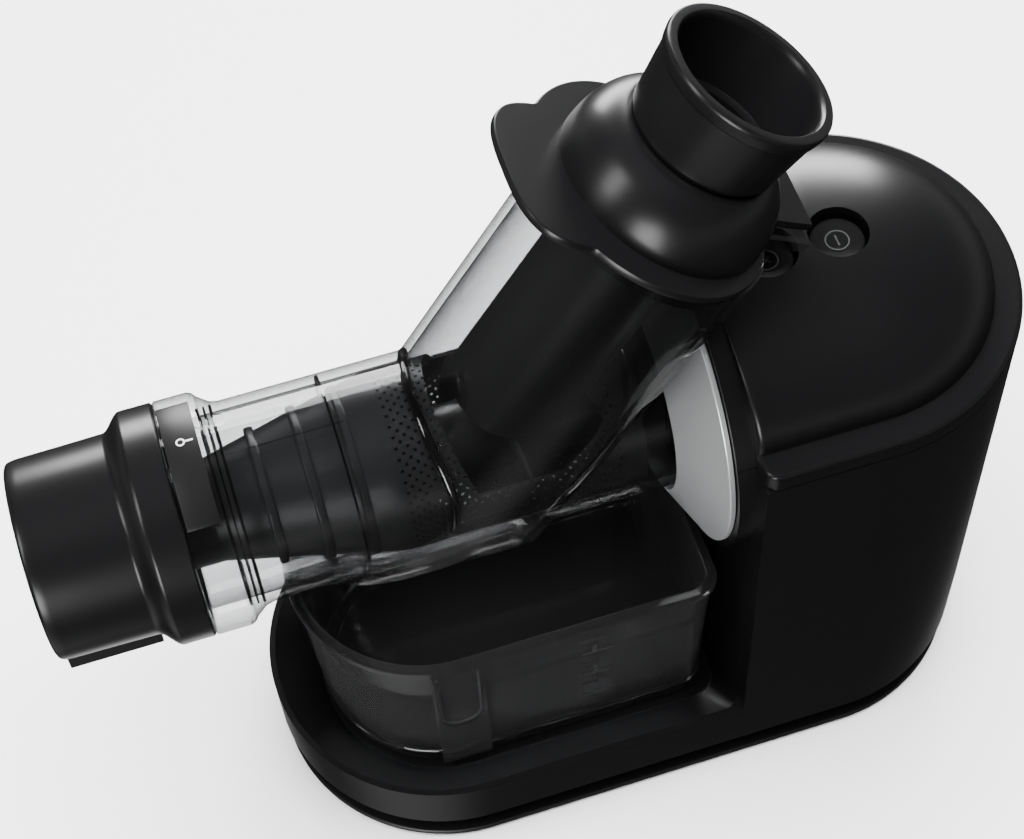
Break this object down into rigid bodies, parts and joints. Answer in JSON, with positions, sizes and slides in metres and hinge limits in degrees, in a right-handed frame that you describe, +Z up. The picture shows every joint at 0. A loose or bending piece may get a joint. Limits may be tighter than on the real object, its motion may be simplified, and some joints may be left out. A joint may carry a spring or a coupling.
{
  "type": "horizontal slow juicer",
  "caption": "Horizontal slow juicer: base and motor tower, clear drum with leaning feed chute, nested pushers, end cap with pulp spout and a juice container.",
  "frame": {"origin": "centre of the bounding box at the underside of the rubber feet", "axes": "+Z up, +X along the drum from the end cap to the motor tower, +Y across the body, away from the side with the container's grip"},
  "size_m": [0.321, 0.126, 0.321],
  "materials": {
    "black_plastic": "satin black moulding",
    "dark_plastic": "fine-textured black moulding",
    "silver_trim": "satin, spun",
    "clear_plastic": "clear, polished",
    "smoke_plastic": "smoke tint, polished",
    "button_black": "satin, dished",
    "rubber": "matte",
    "silicone": "translucent grey",
    "steel": "plain",
    "rotor_steel": "laminated, copper wound",
    "bearing_bronze": "sintered",
    "nylon": "natural nylon",
    "auger_grey": "satin charcoal",
    "strainer_mesh": "charcoal frame, fine slots",
    "circuit_board": "green board",
    "switch_black": "plain"
  },
  "bodies": {
    "housing": {"lower_housing": "black_plastic", "base_plate": "dark_plastic", "rubber_foot_1": "rubber", "rubber_foot_2": "rubber", "rubber_foot_3": "rubber", "rubber_foot_4": "rubber", "base_screw_1": "steel", "base_screw_2": "steel", "base_screw_3": "steel", "base_screw_4": "steel", "top_cover": "black_plastic", "collar_ring": "silver_trim", "drum_socket": "dark_plastic", "gearbox_case": "dark_plastic", "gearbox_cover": "dark_plastic", "output_bearing": "bearing_bronze", "motor_case": "steel", "motor_end_cap": "dark_plastic", "motor_bracket": "steel", "control_board": "circuit_board", "power_switch": "switch_black", "reverse_switch": "switch_black", "interlock_switch": "switch_black", "cord_gland": "rubber"},
    "auger_drive": {"drive_shaft": "steel", "output_gear": "nylon", "auger": "auger_grey"},
    "idler": {"compound_gear": "nylon"},
    "motor_rotor": {"motor_shaft": "steel", "rotor_core": "rotor_steel", "cooling_fan": "nylon"},
    "power_button": {"power_button": "button_black"},
    "reverse_button": {"reverse_button": "button_black"},
    "drum": {"juicing_drum": "clear_plastic", "strainer": "strainer_mesh", "auger_seal": "silicone"},
    "end_cap": {"end_cap": "black_plastic", "cap_seal": "silicone"},
    "pusher": {"pusher": "black_plastic"},
    "small_pusher": {"small_pusher": "black_plastic"},
    "juice_container": {"juice_container": "smoke_plastic"}
  },
  "joints": [
    {"name": "auger_spin", "type": "hinge", "parent": "housing", "child": "auger_drive", "pos_m": [0, 0, 0.1682], "axis": [1, 0, 0], "continuous": true},
    {"name": "idler_spin", "type": "hinge", "parent": "housing", "child": "idler", "pos_m": [0.08, 0, 0.1337], "axis": [1, 0, 0], "continuous": true},
    {"name": "motor_spin", "type": "hinge", "parent": "housing", "child": "motor_rotor", "pos_m": [0.12, 0, 0.10595], "axis": [1, 0, 0], "continuous": true},
    {"name": "power_press", "type": "slide", "parent": "housing", "child": "power_button", "axis": [0, 0, -1], "range_m": [0, 0.0015], "stiffness_N_per_m": 900},
    {"name": "reverse_press", "type": "slide", "parent": "housing", "child": "reverse_button", "axis": [0, 0, -1], "range_m": [0, 0.0015], "stiffness_N_per_m": 900},
    {"name": "drum_twist", "type": "hinge", "parent": "housing", "child": "drum", "pos_m": [0.05, 0, 0.1682], "axis": [-1, 0, 0], "range_deg": [0, 30]},
    {"name": "cap_twist", "type": "hinge", "parent": "drum", "child": "end_cap", "pos_m": [-0.12, 0, 0.1682], "axis": [1, 0, 0], "range_deg": [0, 30]},
    {"name": "pusher_slide", "type": "slide", "parent": "drum", "child": "pusher", "axis": [0.5299, 0, 0.848], "range_m": [0, 0.095]},
    {"name": "small_pusher_slide", "type": "slide", "parent": "pusher", "child": "small_pusher", "axis": [0.5299, 0, 0.848], "range_m": [0, 0.085]},
    {"name": "container_lift", "type": "slide", "parent": "housing", "child": "juice_container", "axis": [-0.6, 0, 0.8], "range_m": [0, 0.02]}
  ],
  "couplings": [
    {"joint": "idler_spin", "follows": "auger_spin", "ratio": -3.6},
    {"joint": "motor_spin", "follows": "auger_spin", "ratio": 11.2}
  ]
}
